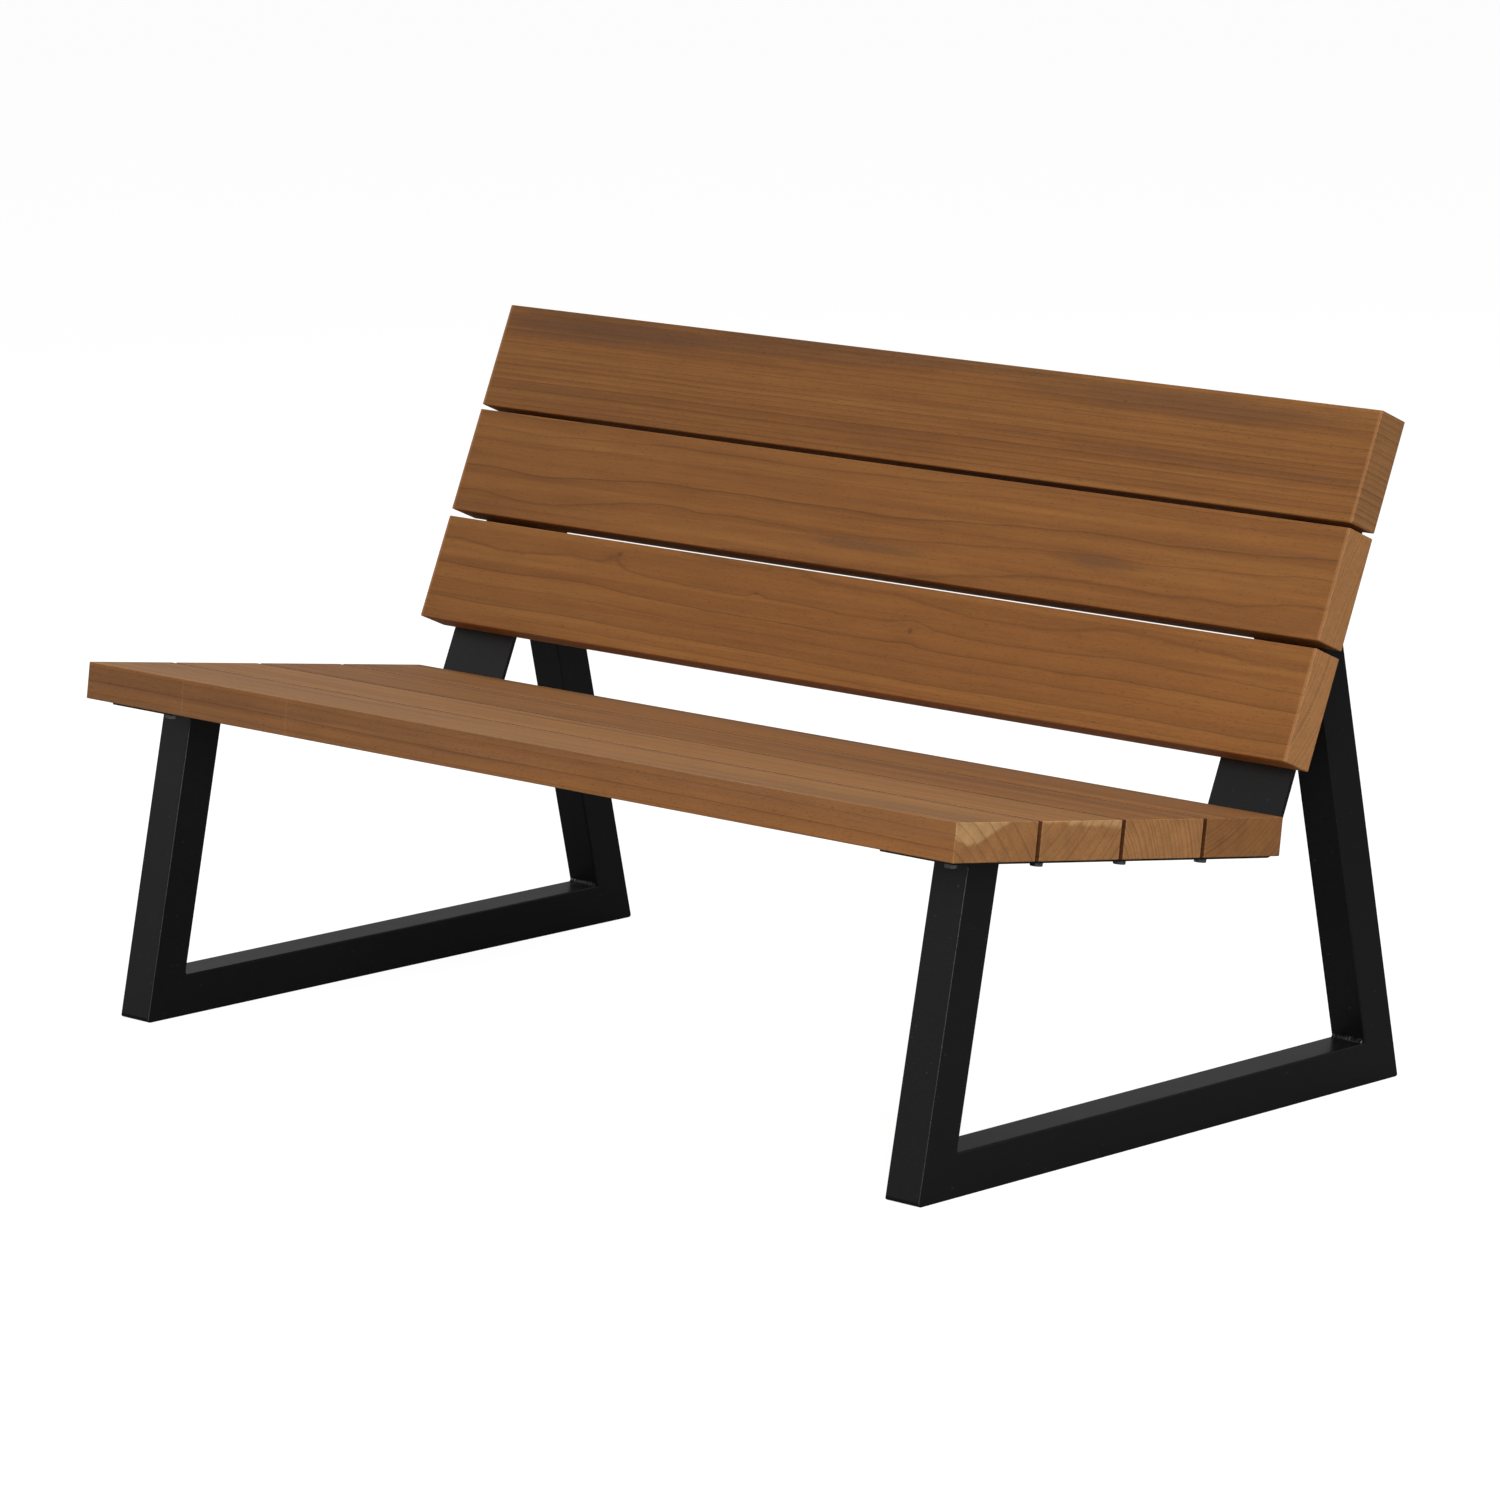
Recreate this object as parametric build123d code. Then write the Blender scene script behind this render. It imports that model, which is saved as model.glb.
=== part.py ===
from build123d import *
import os
from math import cos, radians, sin, tan

# Slatted bench with a back: seven timber planks on two welded steel side frames.
# Millimetres. +X runs along the planks, +Y from front to back, +Z up. The origin is on the
# ground, under the middle of the bench's bounding box. Left is -X, the left seen from the front.

# Timber planks
PLANK_LENGTH = 1400
PLANK_WIDTH = 132
PLANK_THICKNESS = 44
PLANK_GAP = 6
BACK_LOW_GAP = 9            # above the lowest back plank, wide enough to see daylight through
PLANK_EDGE_RADIUS = 1.2     # every edge, the sawn ends included
SEAT_PLANKS = 4
BACK_PLANKS = 3

# Pose of the seat and the back
SEAT_FRONT_HEIGHT = 428
SEAT_TILT = 7.85            # degrees, the rear edge is lower
BACK_TILT = 23.5            # degrees from upright
BACK_SETBACK = 539.5        # seat front edge to the back's lower edge, along the seat
BACK_LIFT = 62              # the back's lower edge above the seat surface

# Square tube of the side frames
TUBE_SIDE = 50
TUBE_WALL = 3
TUBE_CORNER_RADIUS = 2
TUBE_INNER_RADIUS = 1
BASE_LENGTH = 821           # sharp front corner of the foot to its sharp rear corner
TOE_AHEAD = 5               # foot's front corner ahead of the seat's front edge
LEG_LEAN = 12.1             # degrees from upright, front leg back and rear leg forward
FOOT_CORNER_RADIUS = 5      # dressed mitre at each foot corner

# Bent flat bar that carries the planks
STRAP_WIDTH = 106
STRAP_THICKNESS = 5
STRAP_BEND_RADIUS = 8       # inside radius
STRAP_END_INSET = 21        # strap's outer edge to the plank ends
STRAP_FRONT_INSET = 24.5    # strap's front end behind the front plank's face
STRAP_TOP_INSET = 25        # strap's upper end below the top plank's upper edge

# M8 hexagon bolts and threaded inserts
BOLT_DIAMETER = 8
BOLT_LENGTH = 30
BOLT_END_BREAK = 1
HEAD_ACROSS_FLATS = 13
HEAD_HEIGHT = 5.3
HEAD_CORNER_ANGLE = 30      # degrees, chamfer on the head's corners
STRAP_HOLE_CLEARANCE = 0.5  # on the radius
BOLT_OFFSET_X = 38          # the two bolts of a plank sit on a diagonal across the strap
BOLT_OFFSET_Y = 28
INSERT_DIAMETER = 12
INSERT_LENGTH = 22
INSERT_RECESS = 0.5         # insert below the plank's underside
INSERT_HOLE_SPARE = 5       # blind hole deeper than the bolt's end

# Welds
WELD_LEG = 5
WELD_CROWN = 0.8            # bead's face stands proud of the straight line between its toes

BACK_HEIGHT = BACK_PLANKS * PLANK_WIDTH + (BACK_PLANKS - 2) * PLANK_GAP + BACK_LOW_GAP
STRAP_CENTRE_X = PLANK_LENGTH / 2 - STRAP_END_INSET - STRAP_WIDTH / 2
STRAP_FACE = -PLANK_THICKNESS                      # heights from the sitting face
STRAP_UNDERSIDE = STRAP_FACE - STRAP_THICKNESS
SIDES = {"left": -1, "right": 1}

# Sitting planes: local x runs along the planks, local y away from the front edge of the seat
# or up the back, and local z stands out of the sitting face.
_tilt = radians(SEAT_TILT)
SEAT = Plane(
    origin=(0, 0, SEAT_FRONT_HEIGHT),
    x_dir=(1, 0, 0),
    z_dir=(0, sin(_tilt), cos(_tilt)),
)
_lean_back = radians(BACK_TILT)
BACK = Plane(
    origin=SEAT.from_local_coords(Vector(0, BACK_SETBACK, BACK_LIFT)),
    x_dir=(1, 0, 0),
    z_dir=(0, -cos(_lean_back), sin(_lean_back)),
)

TOE = Vector(0, -TOE_AHEAD, 0)
HEEL = TOE + Vector(0, BASE_LENGTH, 0)
_lean = radians(LEG_LEAN)
FRONT_LEG_UP = Vector(0, sin(_lean), cos(_lean))
REAR_LEG_UP = Vector(0, -sin(_lean), cos(_lean))
FOOT_ANGLE = radians(90 - LEG_LEAN)                # between skid and leg, inside the frame


def plank_centre(plane, index):
    """Distance of a plank's centre line from the first plank's outer edge."""
    centre = index * (PLANK_WIDTH + PLANK_GAP) + PLANK_WIDTH / 2
    if plane is BACK and index > 0:
        centre += BACK_LOW_GAP - PLANK_GAP
    return centre


def bolt_places(plane, index):
    """Local (x, y) of the four bolts of one plank, the same pattern on both straps."""
    middle = plank_centre(plane, index)
    places = []
    for side in SIDES.values():
        for sign in (1, -1):
            x = side * STRAP_CENTRE_X + sign * BOLT_OFFSET_X
            places.append((x, middle - sign * BOLT_OFFSET_Y))
    return places


def along(plane, x, y, z=0):
    """Location on a sitting plane, with its z axis out of the sitting face."""
    return plane.location * Location((x, y, z))


def rod(radius, bottom, height):
    """Upright cylinder that starts at a given height."""
    return Pos(0, 0, bottom) * Cylinder(radius, height, align=(Align.CENTER, Align.CENTER, Align.MIN))


def plank(plane, index):
    """One plank with every edge rounded and a blind insert hole for each bolt."""
    body = Box(PLANK_LENGTH, PLANK_WIDTH, PLANK_THICKNESS)
    body = fillet(body.edges(), PLANK_EDGE_RADIUS)
    solid = along(plane, 0, plank_centre(plane, index), -PLANK_THICKNESS / 2) * body
    depth = BOLT_LENGTH - STRAP_THICKNESS + INSERT_HOLE_SPARE
    hole = rod(INSERT_DIAMETER / 2, STRAP_FACE, depth)
    for x, y in bolt_places(plane, index):
        solid -= along(plane, x, y) * hole
    return solid


def bolt():
    """Hexagon bolt under the strap, pointing up: shank, and a head with chamfered corners."""
    shank = rod(BOLT_DIAMETER / 2, STRAP_UNDERSIDE, BOLT_LENGTH)
    shank = chamfer(shank.edges().group_by(Axis.Z)[-1], BOLT_END_BREAK)
    hexagon = RegularPolygon(HEAD_ACROSS_FLATS / 2, 6, major_radius=False)
    head = Pos(0, 0, STRAP_UNDERSIDE - HEAD_HEIGHT) * extrude(hexagon, HEAD_HEIGHT)
    cone = Cone(
        HEAD_ACROSS_FLATS / 2,
        HEAD_ACROSS_FLATS / 2 + HEAD_HEIGHT / tan(radians(HEAD_CORNER_ANGLE)),
        HEAD_HEIGHT,
        align=(Align.CENTER, Align.CENTER, Align.MIN),
    )
    return shank + (head & Pos(0, 0, STRAP_UNDERSIDE - HEAD_HEIGHT) * cone)


def insert():
    """Threaded insert as a plain sleeve whose bore is the bolt's diameter."""
    bottom = STRAP_FACE + INSERT_RECESS
    return rod(INSERT_DIAMETER / 2, bottom, INSERT_LENGTH) - rod(BOLT_DIAMETER / 2, bottom, INSERT_LENGTH)


def at_bolts(plane, index, piece):
    """The same small piece at each of a plank's four bolt places."""
    return Compound([along(plane, x, y) * piece for x, y in bolt_places(plane, index)])


def strap(x):
    """Bent flat bar: seat leg under the seat planks, back leg behind the back planks."""
    seat_axis = (SEAT.from_local_coords(Vector(0, 0, STRAP_FACE)), SEAT.y_dir)
    back_axis = (BACK.from_local_coords(Vector(0, 0, STRAP_FACE)), BACK.y_dir)
    outer_seat = (SEAT.from_local_coords(Vector(0, 0, STRAP_UNDERSIDE)), SEAT.y_dir)
    outer_back = (BACK.from_local_coords(Vector(0, 0, STRAP_UNDERSIDE)), BACK.y_dir)
    inner_bend = meeting(seat_axis, back_axis)
    outer_bend = meeting(outer_seat, outer_back)
    top = BACK_HEIGHT - STRAP_TOP_INSET
    outline = [
        SEAT.from_local_coords(Vector(0, STRAP_FRONT_INSET, STRAP_FACE)),
        inner_bend,
        BACK.from_local_coords(Vector(0, top, STRAP_FACE)),
        BACK.from_local_coords(Vector(0, top, STRAP_UNDERSIDE)),
        outer_bend,
        SEAT.from_local_coords(Vector(0, STRAP_FRONT_INSET, STRAP_UNDERSIDE)),
    ]
    bar = side_prism(outline, x, STRAP_WIDTH)
    bar = fillet(edge_at(bar, inner_bend), STRAP_BEND_RADIUS)
    bar = fillet(edge_at(bar, outer_bend), STRAP_BEND_RADIUS + STRAP_THICKNESS)
    return bar


def drill_strap(bar, side):
    """Clearance holes for the two bolts of every plank on this strap."""
    radius = BOLT_DIAMETER / 2 + STRAP_HOLE_CLEARANCE
    hole = rod(radius, STRAP_UNDERSIDE - 1, STRAP_THICKNESS + 2)
    for plane, count in ((SEAT, SEAT_PLANKS), (BACK, BACK_PLANKS)):
        for index in range(count):
            for x, y in bolt_places(plane, index):
                if x * side > 0:
                    bar -= along(plane, x, y) * hole
    return bar


def meeting(first, second):
    """Point where two lines in the YZ plane cross, each given as (point, direction)."""
    (p, d), (q, e) = first, second
    across = d.Y * e.Z - d.Z * e.Y
    step = ((q.Y - p.Y) * e.Z - (q.Z - p.Z) * e.Y) / across
    return Vector(0, p.Y + step * d.Y, p.Z + step * d.Z)


def side_prism(points, x, width):
    """Prism across X from an outline in the YZ plane, centred on x."""
    outline = Polyline([(x - width / 2, p.Y, p.Z) for p in points], close=True)
    return extrude(make_face(outline), width, dir=(1, 0, 0))


def edge_at(solid, point):
    """The solid's edge across X that passes through a point of the YZ plane."""
    edges = solid.edges().filter_by(Axis.X)
    return edges.sort_by(lambda e: (Vector(0, e.center().Y, e.center().Z) - point).length)[0]


def tube(start, direction, length, inward):
    """Hollow square tube. Its outer face passes through start, and its section lies inward."""
    centre = start + inward * (TUBE_SIDE / 2)
    section = RectangleRounded(TUBE_SIDE, TUBE_SIDE, TUBE_CORNER_RADIUS)
    bore = TUBE_SIDE - 2 * TUBE_WALL
    section -= RectangleRounded(bore, bore, TUBE_INNER_RADIUS)
    plane = Plane(origin=centre, x_dir=(1, 0, 0), z_dir=direction)
    return extrude(plane * section, length)


def keep_towards(solid, point, normal):
    """Cut a solid by a plane and keep the part that the normal points to."""
    return split(solid, bisect_by=Plane(origin=point, z_dir=normal), keep=Keep.TOP)


def mitre_normal(along_skid, up_leg):
    """Normal of the mitre plane at a foot corner, pointing to the leg's side."""
    return (up_leg - along_skid).normalized()


def rounded_foot(solid, corner, along_skid, up_leg, x):
    """Round the sharp outer corner of a foot, in side view."""
    reach = FOOT_CORNER_RADIUS / tan(FOOT_ANGLE / 2)
    on_skid = corner + along_skid * reach
    on_leg = corner + up_leg * reach
    bisector = (along_skid + up_leg).normalized()
    centre = corner + bisector * (FOOT_CORNER_RADIUS / sin(FOOT_ANGLE / 2))
    tip = centre - bisector * FOOT_CORNER_RADIUS
    left = x - TUBE_SIDE / 2 - 1
    arc = ThreePointArc((left, on_skid.Y, on_skid.Z), (left, tip.Y, tip.Z), (left, on_leg.Y, on_leg.Z))
    edges = Polyline(
        (left, on_leg.Y, on_leg.Z),
        (left, corner.Y, corner.Z),
        (left, on_skid.Y, on_skid.Z),
    )
    waste = extrude(make_face(arc + edges), TUBE_SIDE + 2, dir=(1, 0, 0))
    return solid - waste


def leg(corner, along_skid, up_leg, top_plane, x):
    """Leg from its mitred foot corner up to a cut along the strap."""
    corner = corner + Vector(x, 0, 0)
    inward = along_skid - up_leg * up_leg.dot(along_skid)
    start = corner - up_leg * TUBE_SIDE
    length = SEAT_FRONT_HEIGHT + BACK_HEIGHT + TUBE_SIDE
    solid = tube(start, up_leg, length, inward.normalized())
    solid = keep_towards(solid, corner, mitre_normal(along_skid, up_leg))
    cut = top_plane.from_local_coords(Vector(0, 0, STRAP_UNDERSIDE))
    solid = keep_towards(solid, cut, -top_plane.z_dir)
    return rounded_foot(solid, corner, along_skid, up_leg, x)


def skid(x):
    """Floor tube, mitred to the front leg and the rear leg."""
    forward = Vector(0, 1, 0)
    toe = TOE + Vector(x, 0, 0)
    heel = HEEL + Vector(x, 0, 0)
    start = toe - forward * TUBE_SIDE
    solid = tube(start, forward, BASE_LENGTH + 2 * TUBE_SIDE, Vector(0, 0, 1))
    solid = keep_towards(solid, toe, -mitre_normal(forward, FRONT_LEG_UP))
    solid = keep_towards(solid, heel, -mitre_normal(-forward, REAR_LEG_UP))
    solid = rounded_foot(solid, toe, forward, FRONT_LEG_UP, x)
    return rounded_foot(solid, heel, -forward, REAR_LEG_UP, x)


def inner_line(corner, along_skid, up_leg):
    """A leg's inner face in side view, as (point, direction)."""
    return corner + along_skid * (TUBE_SIDE / cos(radians(LEG_LEAN))), up_leg


def bead(root, first, second, x):
    """Fillet weld in a corner: two legs along the joined faces and a slightly domed face."""
    a = root + first * WELD_LEG
    b = root + second * WELD_LEG
    middle = (a + b) * 0.5
    out = (middle - root).normalized()
    crown = middle + out * WELD_CROWN
    width = TUBE_SIDE - 2 * TUBE_CORNER_RADIUS
    left = x - width / 2
    arc = ThreePointArc((left, a.Y, a.Z), (left, crown.Y, crown.Z), (left, b.Y, b.Z))
    legs = Polyline((left, b.Y, b.Z), (left, root.Y, root.Z), (left, a.Y, a.Z))
    return extrude(make_face(arc + legs), width, dir=(1, 0, 0))


def weld_beads(x):
    """Beads of one frame: both inside foot corners, and both sides of each leg's top."""
    forward = Vector(0, 1, 0)
    skid_top = (Vector(0, 0, TUBE_SIDE), forward)
    seat_under = (SEAT.from_local_coords(Vector(0, 0, STRAP_UNDERSIDE)), SEAT.y_dir)
    back_rear = (BACK.from_local_coords(Vector(0, 0, STRAP_UNDERSIDE)), BACK.y_dir)
    front_inner = inner_line(TOE, forward, FRONT_LEG_UP)
    rear_inner = inner_line(HEEL, -forward, REAR_LEG_UP)
    front_outer = (TOE, FRONT_LEG_UP)
    rear_outer = (HEEL, REAR_LEG_UP)
    beads = [
        bead(meeting(front_inner, skid_top), forward, FRONT_LEG_UP, x),
        bead(meeting(rear_inner, skid_top), -forward, REAR_LEG_UP, x),
        bead(meeting(front_outer, seat_under), -FRONT_LEG_UP, -SEAT.y_dir, x),
        bead(meeting(front_inner, seat_under), -FRONT_LEG_UP, SEAT.y_dir, x),
        bead(meeting(rear_inner, back_rear), -REAR_LEG_UP, -BACK.y_dir, x),
        bead(meeting(rear_outer, back_rear), -REAR_LEG_UP, BACK.y_dir, x),
    ]
    return Compound(beads)


def deck(name, plane, count):
    """The planks of the seat or the back, with their bolts and inserts, one node each."""
    nodes = {}
    for index in range(count):
        number = index + 1
        nodes[f"{name}_plank_{number}"] = plank(plane, index)
        nodes[f"hex_bolts_{name}_{number}"] = at_bolts(plane, index, bolt())
        nodes[f"threaded_inserts_{name}_{number}"] = at_bolts(plane, index, insert())
    return nodes


def side_frame(name, side):
    """One welded side frame: two legs, a floor skid, the bent strap and the weld beads."""
    x = side * STRAP_CENTRE_X
    forward = Vector(0, 1, 0)
    return {
        f"front_leg_{name}": leg(TOE, forward, FRONT_LEG_UP, SEAT, x),
        f"rear_leg_{name}": leg(HEEL, -forward, REAR_LEG_UP, BACK, x),
        f"floor_skid_{name}": skid(x),
        f"seat_back_strap_{name}": drill_strap(strap(x), side),
        f"weld_beads_{name}": weld_beads(x),
    }


def bench():
    """Every node of the bench, moved so that the origin is under the middle of its box."""
    nodes = {**deck("seat", SEAT, SEAT_PLANKS), **deck("back", BACK, BACK_PLANKS)}
    for name, side in SIDES.items():
        nodes.update(side_frame(name, side))
    box = Compound(list(nodes.values())).bounding_box()
    middle = Pos(0, -(box.min.Y + box.max.Y) / 2, 0)
    return {name: middle * solid for name, solid in nodes.items()}


os.makedirs("parts", exist_ok=True)
for node, shape in bench().items():
    export_step(shape, f"parts/{node}.step")
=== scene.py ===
from itertools import combinations
from math import atan2, cos, pi, radians, sin

import bmesh
import bpy
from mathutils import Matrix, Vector, noise


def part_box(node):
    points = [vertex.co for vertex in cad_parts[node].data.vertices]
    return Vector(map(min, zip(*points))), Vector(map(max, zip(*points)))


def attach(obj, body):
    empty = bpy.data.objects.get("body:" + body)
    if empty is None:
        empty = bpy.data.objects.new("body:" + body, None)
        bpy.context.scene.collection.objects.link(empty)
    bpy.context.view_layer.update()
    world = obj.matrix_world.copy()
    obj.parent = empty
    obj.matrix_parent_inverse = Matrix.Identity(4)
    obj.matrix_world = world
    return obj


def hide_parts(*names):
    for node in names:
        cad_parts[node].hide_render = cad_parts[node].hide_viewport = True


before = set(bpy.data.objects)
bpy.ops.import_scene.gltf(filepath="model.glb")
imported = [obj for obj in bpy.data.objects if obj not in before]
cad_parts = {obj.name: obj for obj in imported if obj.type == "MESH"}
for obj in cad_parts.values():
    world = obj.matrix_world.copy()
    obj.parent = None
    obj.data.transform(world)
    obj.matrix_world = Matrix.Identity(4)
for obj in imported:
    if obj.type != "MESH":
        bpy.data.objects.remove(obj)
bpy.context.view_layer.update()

# Looks of a bench with a slatted seat and back on two welded steel side frames.
# Metres. +X along the planks, +Y from front to back, +Z up. Wood is worked out in each
# plank's own millimetres: x along it, y across it, z out of the sitting face.

MM = 0.001

# Powder coat: linear colours, and the sizes of its texture
COAT_DARK = (0.0025, 0.0025, 0.0026)
COAT_LIGHT = (0.0065, 0.0065, 0.0068)
# Light grey of the coat's specks, and of the painted highlight on the weld lumps
SPECK_AND_HIGHLIGHT_GREY = (0.09, 0.09, 0.09)
PEEL = 1.5 * MM
PEEL_RELIEF = 0.1 * MM
SPECK = 4 * MM
CLOUD = 110 * MM

# Weld beads. They are cut into slices along x. The ripple shrinks a slice by up to WELD_DEPTH of
# its size, and the ends by up to WELD_TAPER. Lumps are in the material only.
WELD_SLICE = 0.75 * MM
WELD_RIPPLE = 3.2 * MM
WELD_DEPTH = 0.16
WELD_END = 3 * MM
WELD_TAPER = 0.45
LUMP_LENGTH = 2.2 * MM
LUMP_WIDTH = 8 * MM
LUMP_RELIEF = 0.4 * MM
SAME_PLACE = 0.001 * MM  # corners nearer than this are joined

# Zinc plating: linear colours of the bolts and inserts, and the size of its dull patches
BOLT_ZINC = (0.30, 0.30, 0.30)
INSERT_ZINC = (0.55, 0.53, 0.47)
ZINC_PATCH = 4 * MM

# Camera, on the near right front corner
CAMERA_PLACE = (5.3056, -5.4926, 1.8323)
CAMERA_TURN = (radians(79.058), radians(0.137), radians(43.941))
CAMERA_LENS = 159.63
SENSOR = 36
CLIP_END = 200

# Floors: how light each is, and the glow of the pale one
PALE_FLOOR = 0.20
PALE_GLOW = 0.92
STUDIO_FLOOR = 0.28
MIRRORED_FLOOR = 0.12
FLOOR_SIZE = 120
FLOOR_ROUGHNESS = 0.9

# Brightness of the sky above and below its horizon, and half the height of the blend
SKY_ABOVE = 0.22
SKY_BELOW = 0.02
HORIZON = 0.1

# Square lights: place, size and power in watts. They look at the middle of the bench.
SOFT_BOXES = {
    "key": ((4.4, -4.2, 3.0), 3.0, 330),
    "overhead": ((0.4, 0.6, 4.2), 3.6, 90),
    "fill": ((-4.6, 0.8, 2.6), 2.6, 48),
    "front_left": ((-4.4, -4.2, 2.0), 3.2, 9),
}
BENCH_MIDDLE = (0, 0, 0.4)

# Timber colours, linear
EARLY = (0.260, 0.099, 0.022)
# Paler face colour: partly the timber's tone, partly a painted sheen on the seat planks
PALE_TONE_AND_SHEEN = (0.306, 0.168, 0.072)
LATE = (0.095, 0.033, 0.009)
GOLD = (0.335, 0.146, 0.036)
DUSKY = (0.150, 0.066, 0.027)
END_EARLY = (0.410, 0.190, 0.066)
END_LATE = (0.150, 0.068, 0.026)
SAPWOOD = (0.600, 0.350, 0.150)
KNOT = (0.085, 0.036, 0.014)
# Painted light and shade on some long sides: how much lighter or darker they are drawn than the
# faces
# Painted shade in the gaps between the planks
GAP_PAINTED_SHADE = (0.34, 0.26, 0.20)
# Painted light on the undersides of the back planks
UNDER_PAINTED_LIGHT = (1.7, 1.7, 1.7)
# Painted shade on the seat's front side, which also makes it redder than the top
FRONT_PAINTED_SHADE = (0.96, 0.86, 0.85)
# How far the normal has to turn sideways for a long side, and along the plank for a sawn end
SIDE_TURN = (0.6, 0.95)
END_TURN = (0.5, 0.9)

# Half of a plank's length, and the width of its eased ends, in millimetres
PLANK_HALF = 700
EASED_END = 4

# Streaks of noise that run with the grain: length and width in millimetres. The offsets keep
# them apart.
WARP = dict(length=260, width=75, offset=0)
JITTER = dict(length=34, width=9, offset=1)
FIBRE = dict(length=46, width=1.3, offset=0, detail=3, roughness=0.65)
PORES = dict(length=6.0, width=0.8, offset=5, detail=1)
MOTTLE = dict(length=80, width=26, offset=9, detail=3)
BANDS = dict(length=900, width=20, offset=3, detail=4, roughness=0.6)
SMOKE_EDGE = dict(length=90, width=9, offset=7, detail=4, roughness=0.6)
SAP_EDGE = dict(length=60, width=14, offset=12)
BROAD_STREAKS = dict(length=1800, width=22, offset=15, detail=4, roughness=0.65)
NARROW_STREAKS = dict(length=1800, width=8, offset=15, detail=4, roughness=0.65)
# Rays on the sawn ends: length out of the end and width, in millimetres
RAY_LENGTH = 4
RAY_WIDTH = 2.2
# Lengths along a plank over which the pith strays in y and in z
STRAY_Y = 520
STRAY_Z = 430
# How far warp and jitter push the rings, in millimetres
WARP_PUSH = 2.8
JITTER_PUSH = 0.5
# Wide and narrow years: the number of rings from one to the other, and how many rings they shift
YEARS = 2.7
YEARS_SHIFT = 1.7

# How much each pattern varies the lightness, from its darkest to its lightest
FIBRE_LIGHT = 0.36
MOTTLE_LIGHT = 0.20
GROWTH_LIGHT = 0.10
PORE_DARKENING = 0.32
SEAT_STREAK_LIGHT = 0.70
BACK_STREAK_LIGHT = 0.34
GROWTH_SHARE = 0.16  # of a ring, over which its tone changes
# How much the dark lines and the sapwood cover the colour below them
LATE_ON_FACE = 0.62
LATE_ON_END = 0.85
SAPWOOD_COVER = 0.75
# Height of the fibres and pores
WOOD_RELIEF = 0.2 * MM

# Each plank in its own millimetres.
#   pith        place (y, z) of the rings' centre, often outside the plank
#   slope       how far the pith moves towards -y and -z for each millimetre along the plank
#   wander      how far it strays from that line
#   spacing     of the rings, and line, the dark line's share of a ring
#   tone        lightness of the faces, and end_tone, of the sawn ends
#   pale, dusk  how much the faces turn pale, partly the plank's tone and partly a painted sheen on
#   the seat, and how dusky their streaks are
#   heart       how much of the darker heartwood's colour the sawn ends have
#   sides       painted shade and light on the long sides, -1 the front or lower one and 1 the other
PLANKS = {
    "seat_plank_1": dict(
        pith=(-207, -217), slope=(0.01, 0.0), wander=8, spacing=13.5, line=0.075,
        tone=1.03, end_tone=0.96, pale=0.6, dusk=0.4, heart=0.2,
        sides={-1: FRONT_PAINTED_SHADE, 1: GAP_PAINTED_SHADE}, seed=1.7,
    ),
    "seat_plank_2": dict(
        pith=(-222, 201), slope=(-0.008, 0.0), wander=8, spacing=9.7, line=0.09,
        tone=1.04, end_tone=0.97, pale=0.5, dusk=0.45, heart=0.1,
        sides={-1: GAP_PAINTED_SHADE, 1: GAP_PAINTED_SHADE}, seed=4.1,
    ),
    "seat_plank_3": dict(
        pith=(-155, -69), slope=(0.006, 0.0), wander=6, spacing=6.6, line=0.15,
        tone=0.95, end_tone=1.05, pale=0.25, dusk=0.7, heart=0.0,
        sides={-1: GAP_PAINTED_SHADE, 1: GAP_PAINTED_SHADE}, seed=7.9,
    ),
    "seat_plank_4": dict(
        pith=(-170, 247), slope=(0.0, 0.004), wander=7, spacing=6.5, line=0.15,
        tone=0.97, end_tone=0.92, pale=0.2, dusk=0.5, heart=0.55,
        sides={-1: GAP_PAINTED_SHADE}, seed=11.3,
    ),
    "back_plank_1": dict(
        pith=(77, 285), slope=(0.0, 0.004), wander=9, spacing=6.0, line=0.09,
        tone=0.97, end_tone=1.14, pale=0.0, dusk=0.15, heart=0.0,
        sides={-1: UNDER_PAINTED_LIGHT}, seed=15.2,
    ),
    "back_plank_2": dict(
        pith=(-114, -589), slope=(0.0, -0.004), wander=9, spacing=5.0, line=0.07,
        tone=0.915, end_tone=1.07, pale=0.0, dusk=0.3, heart=0.0,
        sides={-1: UNDER_PAINTED_LIGHT}, seed=19.6,
    ),
    "back_plank_3": dict(
        pith=(-420, 10), slope=(-0.004, 0.0), wander=4, spacing=7.4, line=0.2,
        tone=0.88, end_tone=0.86, pale=0.0, dusk=0.5, heart=0.1,
        sides={-1: UNDER_PAINTED_LIGHT}, seed=23.4,
    ),
}

# Marks on the sitting faces: x, y, half length and half width of each oval
KNOTS = {
    "back_plank_1": [(-391, 50, 7, 4.5), (105, 13, 6, 5), (-151, 28, 3, 2.2), (-449, 28, 1.8, 1.6)],
    "back_plank_3": [(-250, 44, 3, 1.6), (330, 40, 4, 1.8)],
}
SMOKE = {
    "seat_plank_3": [(330, 34, 420, 22), (-380, 48, 300, 14)],
    "seat_plank_2": [(-120, 40, 260, 10)],
    "back_plank_2": [(357, -14, 80, 12), (-10, -35, 110, 10)],
    "back_plank_3": [(-520, 50, 260, 20), (-60, 60, 420, 14), (420, 46, 330, 20)],
}
# Light scratches across the front of the seat, by their place along the plank
SCRATCHES = {"seat_plank_1": [-529, -348]}
# Pale sapwood on the sawn ends, above these lines: height at the middle and slope
PALE_WOOD = {
    "seat_plank_1": [(13.0, 0.42), (-26.0, -0.48)],
    "seat_plank_2": [(17.0, -0.06)],
}


# Colour sockets of a Mix node, whose names are shared by its other sockets
FIRST_COLOUR = 6
SECOND_COLOUR = 7
MIXED_COLOUR = 2


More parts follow.
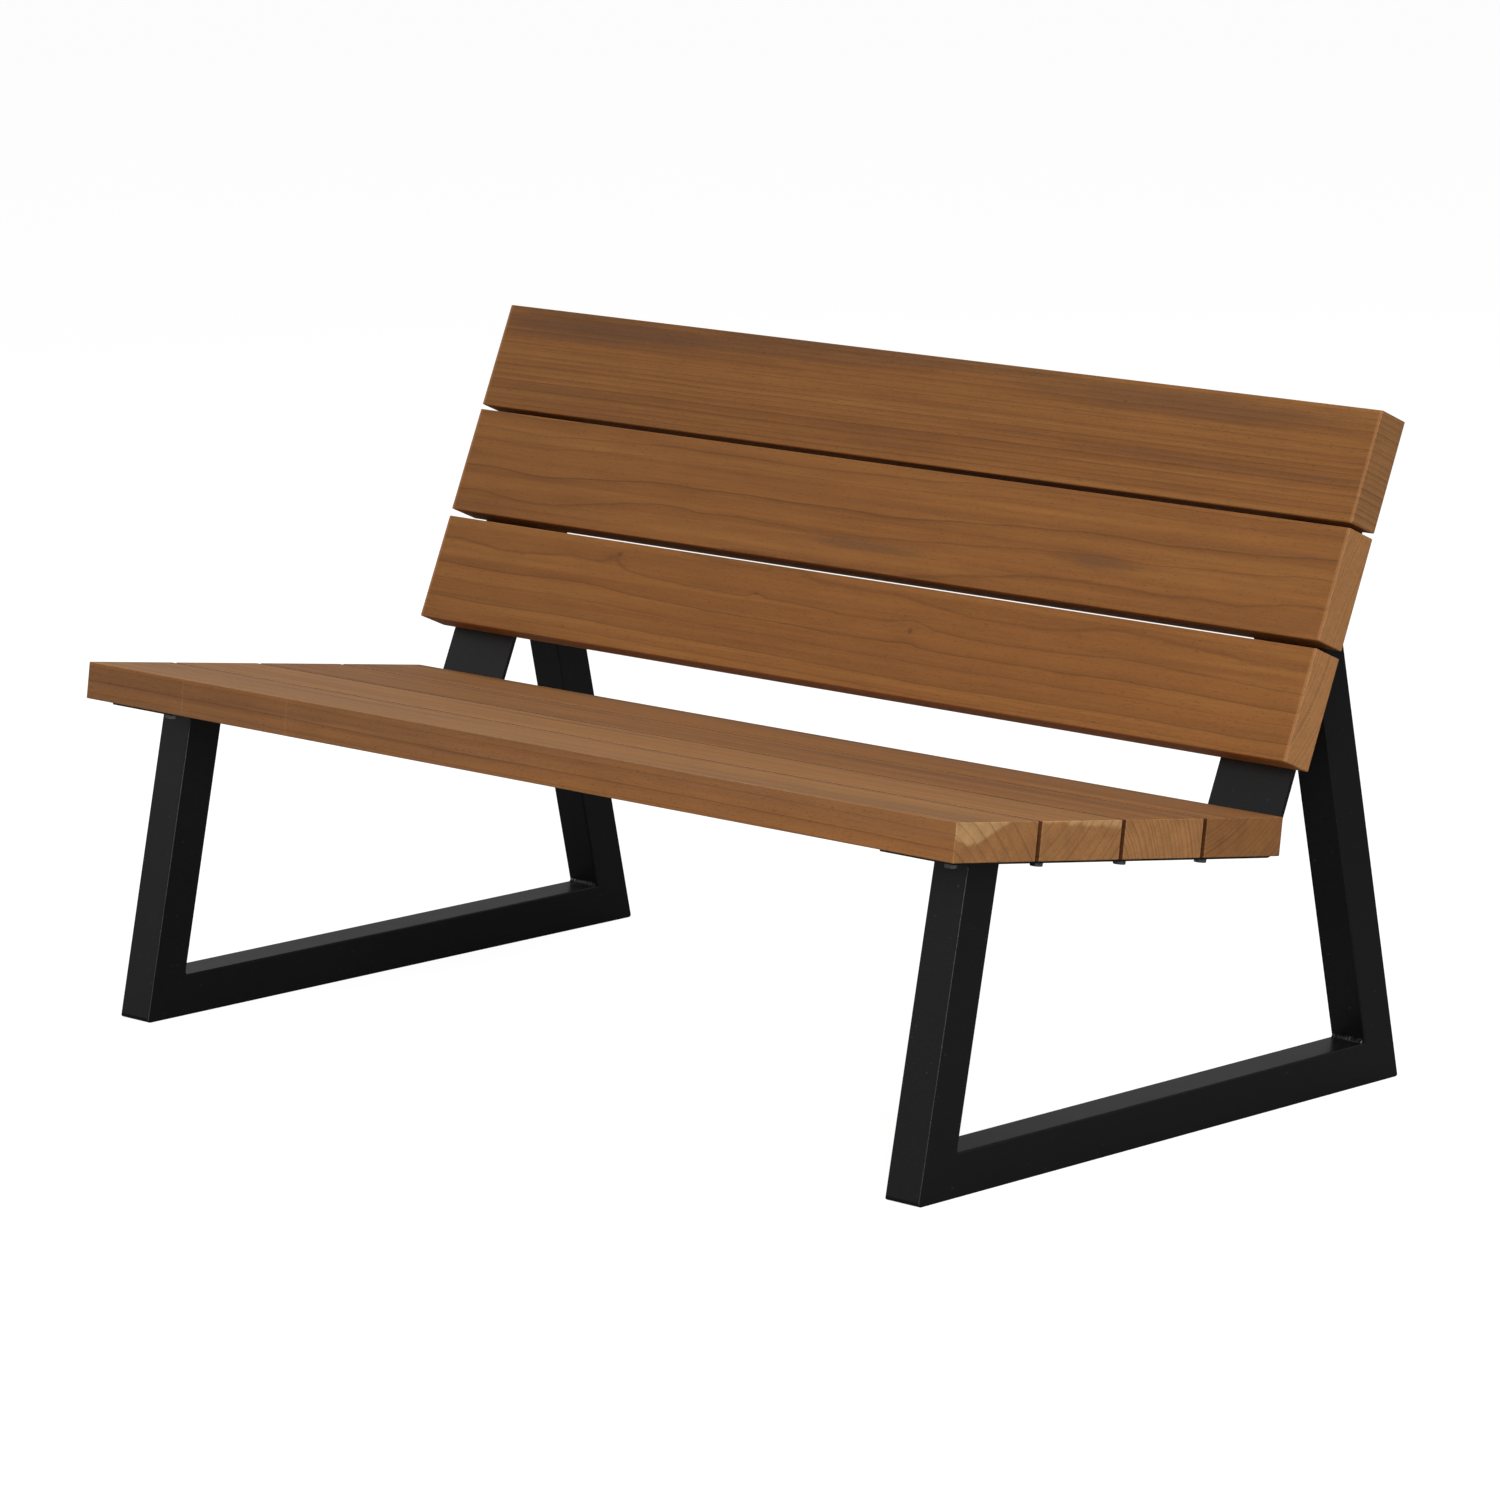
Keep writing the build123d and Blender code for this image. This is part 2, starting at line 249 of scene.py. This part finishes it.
class Graph:
    """Adds and links the shader nodes of one material."""

    def __init__(self, name):
        self.material = bpy.data.materials.new(name)
        self.material.use_nodes = True
        self.tree = self.material.node_tree
        self.shader = self.tree.nodes["Principled BSDF"]

    def put(self, socket, value):
        if isinstance(value, bpy.types.NodeSocket):
            self.tree.links.new(value, socket)
        elif isinstance(value, tuple) and len(socket.default_value) == 4:
            socket.default_value = (*value, 1)
        else:
            socket.default_value = value

    def add(self, kind, settings=None, **inputs):
        node = self.tree.nodes.new("ShaderNode" + kind)
        for key, value in (settings or {}).items():
            setattr(node, key, value)
        for key, value in inputs.items():
            self.put(node.inputs[key], value)
        return node

    def math(self, operation, *values):
        node = self.add("Math", {"operation": operation})
        for socket, value in zip(node.inputs, values):
            self.put(socket, value)
        return node.outputs[0]

    def remap(self, value, low, high, to_low=0.0, to_high=1.0, kind="SMOOTHSTEP"):
        node = self.add("MapRange", {"interpolation_type": kind})
        for socket, number in zip(node.inputs, (value, low, high, to_low, to_high)):
            self.put(socket, number)
        return node.outputs[0]

    def mix(self, factor, first, second, blend="MIX"):
        node = self.add("Mix", {"data_type": "RGBA", "blend_type": blend})
        self.put(node.inputs[0], factor)
        self.put(node.inputs[FIRST_COLOUR], first)
        self.put(node.inputs[SECOND_COLOUR], second)
        return node.outputs[MIXED_COLOUR]

    def curve(self, value, stops):
        """A number from a number, by straight lines between (place, number) stops."""
        ramp = self.add("ValToRGB", Fac=value)
        places = ramp.color_ramp.elements
        while len(places) < len(stops):
            places.new(0.5)
        for element, (place, number) in zip(places, stops):
            element.position = place
            element.color = (number, number, number, 1)
        return ramp.outputs["Color"]

    def stretched(self, coordinates, x, y, z, seed=0.0):
        """Coordinates divided by a grain's size along each axis."""
        node = self.add("Mapping", {"vector_type": "POINT"}, Vector=coordinates)
        node.inputs["Scale"].default_value = (1 / x, 1 / y, 1 / z)
        node.inputs["Location"].default_value = (seed, seed * 1.3, seed * 0.7)
        return node.outputs[0]

    def noise(self, coordinates, detail=2.0, roughness=0.5):
        node = self.add("TexNoise", Vector=coordinates, Scale=1.0, Detail=detail)
        node.inputs["Roughness"].default_value = roughness
        return node.outputs[0]

    def noise_along(self, value, size, seed):
        """One-dimensional noise of a number."""
        node = self.add("TexNoise", {"noise_dimensions": "1D"}, Scale=1.0, Detail=2.0)
        self.put(node.inputs["W"], self.math("MULTIPLY_ADD", value, 1 / size, seed))
        return node.outputs[0]

    def bump(self, height, distance, normal=None):
        node = self.add("Bump", Height=height, Distance=distance)
        if normal is not None:
            self.put(node.inputs["Normal"], normal)
        return node.outputs[0]


def middle(node):
    low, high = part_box(node)
    return (low + high) / 2


def deck_tilt(prefix, count):
    """Angle about X that turns the world onto a row of planks."""
    step = middle(f"{prefix}_plank_{count}") - middle(f"{prefix}_plank_1")
    return atan2(step.z, step.y)


class Timber(Graph):
    """Oiled timber whose growth rings run through the whole plank."""

    def __init__(self, name, tilt):
        super().__init__("timber_" + name)
        self.name = name
        self.grain = PLANKS[name]
        self.seed = self.grain["seed"]
        self.seat = name.startswith("seat")
        point = self.add("TexCoord").outputs
        place = self.add("Mapping", {"vector_type": "TEXTURE"}, Vector=point["Object"])
        place.inputs["Location"].default_value = middle(name)
        place.inputs["Rotation"].default_value = (tilt, 0, 0)
        place.inputs["Scale"].default_value = (MM, MM, MM)
        self.spot = place.outputs[0]
        self.x, self.y, self.z = self.add("SeparateXYZ", Vector=self.spot).outputs
        normal = self.add("SeparateXYZ", Vector=point["Normal"]).outputs
        self.end = self.remap(self.math("ABSOLUTE", normal["X"]), *END_TURN)
        level = self.math("MULTIPLY", normal["Y"], cos(tilt))
        self.sideways = self.math("MULTIPLY_ADD", normal["Z"], sin(tilt), level)
        self.ring = self.rings()
        self.late = self.latewood()

    def facing(self, side):
        """1 on the plank's long side towards +y, or towards -y for side -1."""
        return self.remap(self.math("MULTIPLY", self.sideways, side), *SIDE_TURN)

    def streaks(self, length, width, offset, detail=2.0, roughness=0.5):
        """Noise that runs with the grain."""
        spot = self.stretched(self.spot, length, width, width, self.seed + offset)
        return self.noise(spot, detail, roughness)

    def oval(self, x, y, length, width):
        """0 at the middle of an oval on the face and 1 on its edge."""
        across = self.math("MULTIPLY_ADD", self.y, 1 / width, -y / width)
        along = self.math("MULTIPLY_ADD", self.x, 1 / length, -x / length)
        size = self.add("VectorMath", {"operation": "LENGTH"})
        self.put(size.inputs[0], self.add("CombineXYZ", X=along, Y=across, Z=0.0).outputs[0])
        return size.outputs["Value"]

    def from_pith(self, place, axis, stray, wander, seed):
        """Distance from the pith in y (axis 0) or z (axis 1). The pith strays to both sides."""
        middle_line = -self.grain["pith"][axis] - wander / 2
        line = self.math("MULTIPLY_ADD", self.noise_along(self.x, stray, seed), wander, middle_line)
        line = self.math("MULTIPLY_ADD", self.x, self.grain["slope"][axis], line)
        return self.math("ADD", place, line)

    def rings(self):
        """Distance from the pith in ring spacings. The rings wave, and knots push them aside."""
        wander = self.grain["wander"]
        y = self.from_pith(self.y, 0, STRAY_Y, wander, self.seed)
        z = self.from_pith(self.z, 1, STRAY_Z, wander / 2, self.seed + 50)
        length = self.add("VectorMath", {"operation": "LENGTH"})
        self.put(length.inputs[0], self.add("CombineXYZ", X=0.0, Y=y, Z=z).outputs[0])
        radius = length.outputs["Value"]
        radius = self.math("MULTIPLY_ADD", self.streaks(**WARP), WARP_PUSH, radius)
        radius = self.math("MULTIPLY_ADD", self.streaks(**JITTER), JITTER_PUSH, radius)
        # A knot bends the rings over an area several times its own size.
        for x, y, half_length, half_width in KNOTS.get(self.name, []):
            area = self.oval(x, y, 7 * half_length, 5 * half_width)
            push = self.remap(area, 0.0, 1.0, 0.45 * half_width, 0.0)
            radius = self.math("ADD", radius, push)
        ring = self.math("DIVIDE", radius, self.grain["spacing"])
        years = self.noise_along(ring, YEARS, self.seed)
        return self.math("MULTIPLY_ADD", years, YEARS_SHIFT, ring)

    def latewood(self):
        """Soft dark line at the end of each ring, stronger in some years."""
        width = self.grain["line"]
        darkness = [
            (0.0, 0.35),
            (0.4 * width, 0.03),
            (0.4, 0.04),
            (1 - 3.5 * width, 0.13),
            (1 - width, 0.38),
            (1 - 0.4 * width, 1.0),
            (1.0, 0.8),
        ]
        line = self.curve(self.math("FRACT", self.ring), darkness)
        strength = self.noise_along(self.math("FLOOR", self.ring), 0.37, self.seed)
        return self.math("MULTIPLY", line, self.remap(strength, 0.25, 0.75, 0.35, 1.0, "LINEAR"))

    def smoke(self):
        """Soft dusky clouds on the face."""
        ragged = self.math("MULTIPLY_ADD", self.streaks(**SMOKE_EDGE), 1.1, -0.55)
        smoke = 0.0
        for oval in SMOKE.get(self.name, []):
            cloud = self.remap(self.math("ADD", self.oval(*oval), ragged), 0.25, 1.15, 0.6, 0.0)
            smoke = self.math("MAXIMUM", smoke, cloud)
        return smoke

    def knots(self):
        """Dark ovals on the face."""
        knots = 0.0
        for oval in KNOTS.get(self.name, []):
            knot = self.remap(self.oval(*oval), 0.25, 1.0, 0.6, 0.0)
            knots = self.math("MAXIMUM", knots, knot)
        return knots

    def scratch(self, x):
        """More than 0 on a thin, slightly leaning line down the front side."""
        across = self.math("MULTIPLY_ADD", self.z, 0.05, self.math("SUBTRACT", self.x, x))
        line = self.remap(self.math("ABSOLUTE", across), 0.2, 0.9, 0.22, 0.0)
        return self.math("MULTIPLY", line, self.facing(-1))

    def eased_end(self):
        """More than 0 on the eased edges of the sawn ends."""
        rim = self.math("SUBTRACT", self.math("ABSOLUTE", self.x), PLANK_HALF - EASED_END)
        return self.remap(rim, -0.5, 0.5, 0.0, 0.55)

    def face(self):
        """Colour of all the sides but the sawn ends."""
        band = self.streaks(**BANDS)
        # Paler faces: partly the plank's tone, partly a painted sheen on the seat planks
        face = self.mix(self.grain["pale"], EARLY, PALE_TONE_AND_SHEEN)
        face = self.mix(self.remap(band, 0.42, 0.66, 0.0, 0.55), face, GOLD)
        face = self.mix(self.remap(band, 0.32, 0.50, self.grain["dusk"], 0.0), face, DUSKY)
        face = self.mix(self.smoke(), face, DUSKY)
        face = self.mix(self.math("MULTIPLY", self.late, LATE_ON_FACE), face, LATE)
        face = self.mix(self.knots(), face, KNOT)
        for x in SCRATCHES.get(self.name, []):
            face = self.mix(self.scratch(x), face, SAPWOOD)
        if not self.seat:
            face = self.mix(self.eased_end(), face, END_EARLY)
        return face

    def pale_wood(self):
        """1 above the plank's sapwood lines, with a ragged edge, and 0 below any of them."""
        pale = 1.0
        height = self.math("MULTIPLY_ADD", self.streaks(**SAP_EDGE), 9.0, self.z)
        for middle_height, slope in PALE_WOOD[self.name]:
            line = self.math("MULTIPLY_ADD", self.y, slope, middle_height + 4.5)
            above = self.remap(self.math("SUBTRACT", height, line), -2.5, 2.5)
            pale = self.math("MULTIPLY", pale, above)
        return pale

    def sawn_end(self):
        """Colour of the sawn ends, with rays and pale sapwood."""
        ray = self.stretched(self.spot, RAY_LENGTH, RAY_WIDTH, RAY_WIDTH, self.seed)
        sawn = self.mix(self.grain["heart"], END_EARLY, EARLY)
        sawn = self.mix(self.remap(self.noise(ray, detail=3), 0.35, 0.65, 0.0, 0.15), sawn, DUSKY)
        if self.name in PALE_WOOD:
            cover = self.math("MULTIPLY", self.pale_wood(), SAPWOOD_COVER)
            sawn = self.mix(cover, sawn, SAPWOOD)
        return self.mix(self.math("MULTIPLY", self.late, LATE_ON_END), sawn, END_LATE)

    def lightness(self, fibre, pore):
        """1 on average, times the plank's tone."""
        streak = self.streaks(**(BROAD_STREAKS if self.seat else NARROW_STREAKS))
        patterns = [
            (fibre, FIBRE_LIGHT),
            (streak, SEAT_STREAK_LIGHT if self.seat else BACK_STREAK_LIGHT),
            (self.streaks(**MOTTLE), MOTTLE_LIGHT),
            (self.noise_along(self.ring, GROWTH_SHARE, self.seed + 2), GROWTH_LIGHT),
        ]
        light = 1 - sum(share for pattern, share in patterns) / 2
        for pattern, share in patterns:
            light = self.math("MULTIPLY_ADD", pattern, share, light)
        tone, end_tone = self.grain["tone"], self.grain["end_tone"]
        pore_light = self.math("MULTIPLY_ADD", pore, -PORE_DARKENING, 1.0)
        tone = self.math("MULTIPLY_ADD", self.end, end_tone - tone, tone)
        return self.math("MULTIPLY", self.math("MULTIPLY", light, pore_light), tone)

    def colour(self, light):
        tint = self.add("CombineColor", Red=light, Green=light, Blue=light)
        colour = self.mix(self.end, self.face(), self.sawn_end())
        colour = self.mix(1.0, colour, tint.outputs[0], "MULTIPLY")
        # Painted shade and light: the long sides are multiplied by their tints, darker in the gaps
        # and on the seat's front, lighter under the back planks
        for side, shade in self.grain["sides"].items():
            colour = self.mix(self.facing(side), colour, shade, "MULTIPLY")
        return colour

    def finish(self):
        fibre = self.streaks(**FIBRE)
        pore = self.remap(self.streaks(**PORES), 0.60, 0.72)
        rough = self.math("MULTIPLY_ADD", fibre, 0.16, 0.50)
        relief = self.math("MULTIPLY_ADD", pore, -0.6, fibre)
        relief = self.math("MULTIPLY_ADD", self.late, 0.3, relief)
        inputs = self.shader.inputs
        self.put(inputs["Base Color"], self.colour(self.lightness(fibre, pore)))
        self.put(inputs["Roughness"], self.math("MULTIPLY_ADD", self.end, 0.12, rough))
        self.put(inputs["Normal"], self.bump(relief, WOOD_RELIEF))
        inputs["IOR"].default_value = 1.46
        inputs["Specular IOR Level"].default_value = 0.35
        return self.material


def powder_coat(name, lumpy=False):
    """Black satin powder coat with a fine orange-peel texture and light grey specks, and lumps on a
    weld whose crests carry a painted highlight.
    """
    g = Graph(name)
    spot = g.add("TexCoord").outputs["Object"]
    peel = g.noise(g.stretched(spot, PEEL, PEEL, PEEL), detail=2, roughness=0.6)
    cloud = g.noise(g.stretched(spot, CLOUD, CLOUD, CLOUD), detail=3)
    speck = g.noise(g.stretched(spot, SPECK, SPECK, SPECK, seed=5.0), detail=1)
    shade = g.mix(g.remap(peel, 0.3, 0.7), COAT_DARK, COAT_LIGHT)
    # Light grey specks
    shade = g.mix(g.math("MULTIPLY", g.remap(speck, 0.77, 0.80), 0.5), shade, SPECK_AND_HIGHLIGHT_GREY)
    normal = g.bump(peel, PEEL_RELIEF)
    if lumpy:
        place = g.stretched(spot, LUMP_LENGTH, LUMP_WIDTH, LUMP_WIDTH)
        lumps = g.noise(place, detail=2, roughness=0.6)
        # Painted highlight: the crests of the lumps are painted light grey
        shade = g.mix(g.remap(lumps, 0.52, 0.66, 0.0, 0.7), shade, SPECK_AND_HIGHLIGHT_GREY)
        normal = g.bump(lumps, LUMP_RELIEF, normal)
    g.put(g.shader.inputs["Base Color"], shade)
    rough = g.math("MULTIPLY_ADD", cloud, 0.12, g.math("MULTIPLY_ADD", peel, 0.08, 0.22))
    g.put(g.shader.inputs["Roughness"], rough)
    g.put(g.shader.inputs["Normal"], normal)
    g.shader.inputs["IOR"].default_value = 1.5
    return g.material


def zinc(name, shade):
    """Dulled zinc plating."""
    g = Graph(name)
    spot = g.add("TexCoord").outputs["Object"]
    cloud = g.noise(g.stretched(spot, ZINC_PATCH, ZINC_PATCH, ZINC_PATCH), detail=4)
    dark = tuple(0.55 * c for c in shade)
    g.put(g.shader.inputs["Base Color"], g.mix(cloud, dark, shade))
    g.put(g.shader.inputs["Roughness"], g.math("MULTIPLY_ADD", cloud, 0.25, 0.28))
    g.shader.inputs["Metallic"].default_value = 1.0
    return g.material


def paint(prefix, material):
    """Gives a material to every CAD node whose name starts with the prefix."""
    for name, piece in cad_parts.items():
        if name.startswith(prefix):
            for slot in piece.material_slots:
                slot.material = material


def dress_planks():
    tilts = {"seat": deck_tilt("seat", 4), "back": deck_tilt("back", 3)}
    for name in PLANKS:
        paint(name, Timber(name, tilts[name.split("_")[0]]).finish())


def dress_steel():
    coat = powder_coat("black_powder_coat")
    for prefix in ("front_leg", "rear_leg", "floor_skid", "seat_back_strap"):
        paint(prefix, coat)
    coated_weld = powder_coat("coated_weld", lumpy=True)
    for side in ("left", "right"):
        welds(side, coated_weld)
    paint("hex_bolts", zinc("bolt_zinc", BOLT_ZINC))
    paint("threaded_inserts", zinc("insert_zinc", INSERT_ZINC))


def welds(side, material):
    """The weld beads of one frame, with ripples, inside their CAD solids."""
    node = "weld_beads_" + side
    low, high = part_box(node)
    mesh = sliced(node, WELD_SLICE)
    for bead in islands(mesh):
        ripple(bead, low.x, high.x)
    data = bpy.data.meshes.new("rippled_" + node)
    mesh.to_mesh(data)
    mesh.free()
    data.shade_smooth()
    data.materials.append(material)
    piece = bpy.data.objects.new("rippled_" + node, data)
    bpy.context.scene.collection.objects.link(piece)
    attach(piece, "root")
    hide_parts(node)


def sliced(node, step):
    """A CAD node's mesh with its faces cut at every step along x."""
    mesh = bmesh.new()
    mesh.from_mesh(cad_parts[node].data)
    bmesh.ops.remove_doubles(mesh, verts=mesh.verts, dist=SAME_PLACE)
    low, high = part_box(node)
    slices = round((high.x - low.x) / step)
    for i in range(1, slices):
        cut = Vector((low.x + i * (high.x - low.x) / slices, 0, 0))
        everything = mesh.verts[:] + mesh.edges[:] + mesh.faces[:]
        bmesh.ops.bisect_plane(mesh, geom=everything, plane_co=cut, plane_no=(1, 0, 0))
    return mesh


def islands(mesh):
    """The vertices of each separate solid."""
    left = set(mesh.verts)
    while left:
        found = []
        waiting = [left.pop()]
        while waiting:
            vertex = waiting.pop()
            found.append(vertex)
            near = {edge.other_vert(vertex) for edge in vertex.link_edges} & left
            left -= near
            waiting.extend(near)
        yield found


def ripple(bead, low, high):
    """Shrinks each section of a bead towards its root, so that both toes stay on their faces.

    In a corner under about 60 degrees the longest chord doesn't join the toes. That bead shrinks
    towards one toe, and the other comes a little off its face.
    """
    section = [vertex.co for vertex in bead if vertex.co.x < low + WELD_SLICE / 4]
    if len(section) < 3:
        return
    root = farthest_from_chord(section).copy()
    for vertex in bead:
        x = vertex.co.x
        phase = x / WELD_RIPPLE + noise.noise((x / WELD_RIPPLE / 2, root.y, root.z))
        wave = abs(sin(pi * phase))
        near_end = max(0, 1 - min(x - low, high - x) / WELD_END)
        size = (1 - WELD_DEPTH * (1 - wave)) * (1 - WELD_TAPER * near_end ** 2)
        vertex.co.y = root.y + (vertex.co.y - root.y) * size
        vertex.co.z = root.z + (vertex.co.z - root.z) * size


def farthest_from_chord(section):
    """The point of a section in y and z that is farthest from its longest chord."""
    toe, other_toe = max(combinations(section, 2), key=lambda pair: (pair[0] - pair[1]).yz.length)
    chord = (other_toe - toe).yz.normalized()
    return max(section, key=lambda co: abs(chord.x * (co - toe).z - chord.y * (co - toe).y))


def flat_floor(name, height, shade, glow=0.0):
    bpy.ops.mesh.primitive_plane_add(size=FLOOR_SIZE, location=(0, 0, height))
    plane = bpy.context.object
    plane.name = name
    g = Graph(name)
    g.shader.inputs["Base Color"].default_value = (shade, shade, shade, 1)
    g.shader.inputs["Roughness"].default_value = FLOOR_ROUGHNESS
    g.shader.inputs["Emission Color"].default_value = (1, 1, 1, 1)
    g.shader.inputs["Emission Strength"].default_value = glow
    plane.data.materials.append(g.material)
    return plane


def stage_floor():
    """A pale floor that only the camera sees, a dark one below it that the steel mirrors, and
    one below both that throws light back."""
    pale = flat_floor("pale_floor", 0, PALE_FLOOR, PALE_GLOW)
    pale.visible_diffuse = False
    pale.visible_glossy = False
    pale.visible_shadow = False
    mirrored = flat_floor("mirrored_floor", -MM, MIRRORED_FLOOR)
    mirrored.visible_camera = False
    mirrored.visible_diffuse = False
    mirrored.visible_shadow = False
    studio_floor = flat_floor("studio_floor", -2 * MM, STUDIO_FLOOR)
    studio_floor.visible_camera = False
    studio_floor.visible_glossy = False


def camera():
    data = bpy.data.cameras.new("camera")
    data.lens = CAMERA_LENS
    data.sensor_width = SENSOR
    data.clip_end = CLIP_END
    piece = bpy.data.objects.new("camera", data)
    piece.location = CAMERA_PLACE
    piece.rotation_euler = CAMERA_TURN
    bpy.context.scene.collection.objects.link(piece)
    bpy.context.scene.camera = piece


def soft_box(name, place, size, power):
    """Square area light."""
    data = bpy.data.lights.new(name, "AREA")
    data.size = size
    data.energy = power
    piece = bpy.data.objects.new(name, data)
    piece.location = place
    aim = Vector(BENCH_MIDDLE) - Vector(place)
    piece.rotation_euler = aim.to_track_quat("-Z", "Y").to_euler()
    bpy.context.scene.collection.objects.link(piece)


def sky():
    """Even light from above the horizon and little from below it."""
    world = bpy.data.worlds.new("sky")
    world.use_nodes = True
    nodes, links = world.node_tree.nodes, world.node_tree.links
    height = nodes.new("ShaderNodeSeparateXYZ")
    links.new(nodes.new("ShaderNodeTexCoord").outputs["Generated"], height.inputs[0])
    glow = nodes.new("ShaderNodeMapRange")
    links.new(height.outputs["Z"], glow.inputs["Value"])
    glow.inputs["From Min"].default_value = -HORIZON
    glow.inputs["From Max"].default_value = HORIZON
    glow.inputs["To Min"].default_value = SKY_BELOW
    glow.inputs["To Max"].default_value = SKY_ABOVE
    links.new(glow.outputs[0], nodes["Background"].inputs["Strength"])
    nodes["Background"].inputs["Color"].default_value = (1, 1, 1, 1)
    bpy.context.scene.world = world


def studio():
    sky()
    for name, (place, size, power) in SOFT_BOXES.items():
        soft_box(name, place, size, power)
    bpy.context.scene.view_settings.view_transform = "Standard"


camera()
studio()
stage_floor()
dress_planks()
dress_steel()
